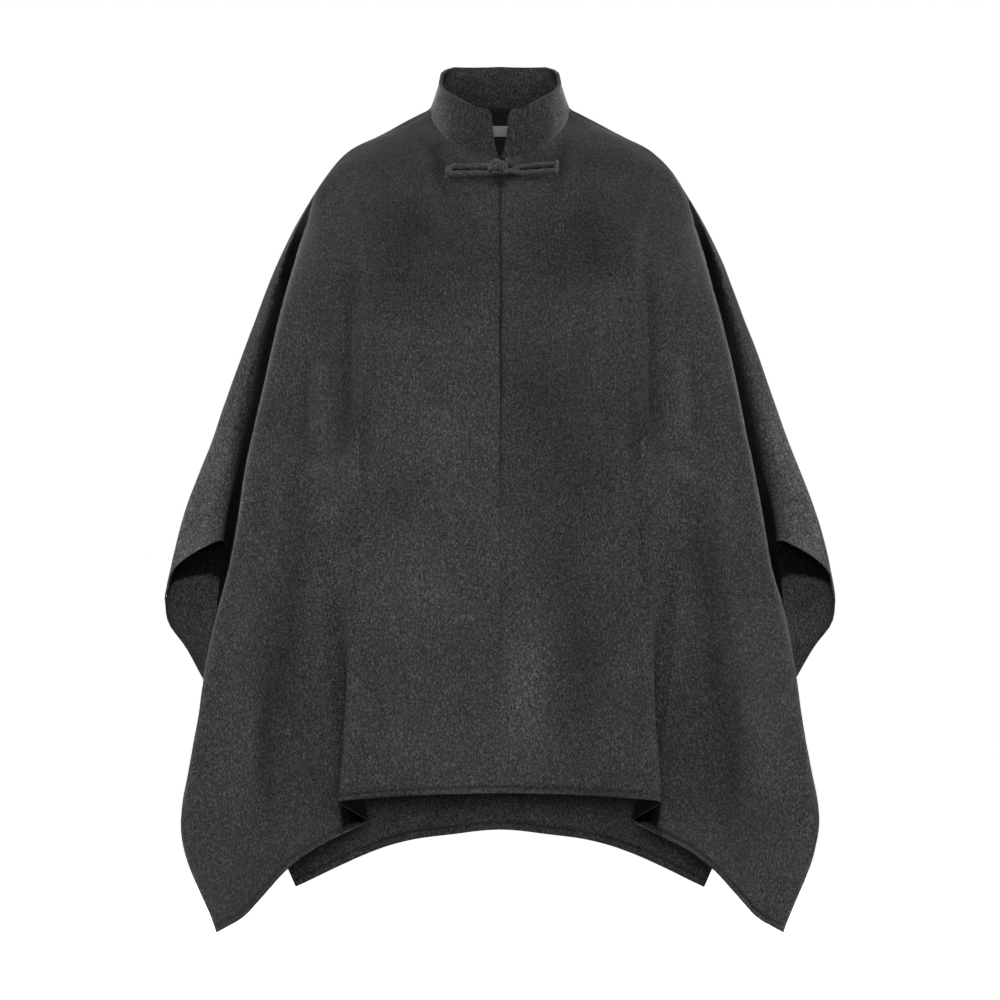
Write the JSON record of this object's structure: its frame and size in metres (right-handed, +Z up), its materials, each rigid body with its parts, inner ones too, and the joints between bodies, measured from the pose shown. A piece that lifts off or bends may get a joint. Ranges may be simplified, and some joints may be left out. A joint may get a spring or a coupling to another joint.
{
  "type": "poncho",
  "caption": "Open-sided wool poncho with a stand collar, a slit centre front closed by a frog fastening, and a dipped hem, held out in its worn shape.",
  "frame": {"origin": "middle of the neck opening at the height of the shoulder points", "axes": "+Z up, +X to the wearer's left, the garment faces -Y"},
  "size_m": [0.8426, 0.3809, 1.0651],
  "materials": {
    "wool": "charcoal double-faced wool coating, brushed nap",
    "wool_cord": "charcoal wool cord, sewn from the same cloth",
    "label_satin": "grey woven satin, blank"
  },
  "bodies": {
    "root": {"front_right_side": "wool", "front_left_side": "wool", "back": "wool", "collar": "wool", "frog_loop": "wool_cord", "frog_tab": "wool_cord", "frog_knot": "wool_cord", "label": "label_satin"}
  },
  "joints": []
}
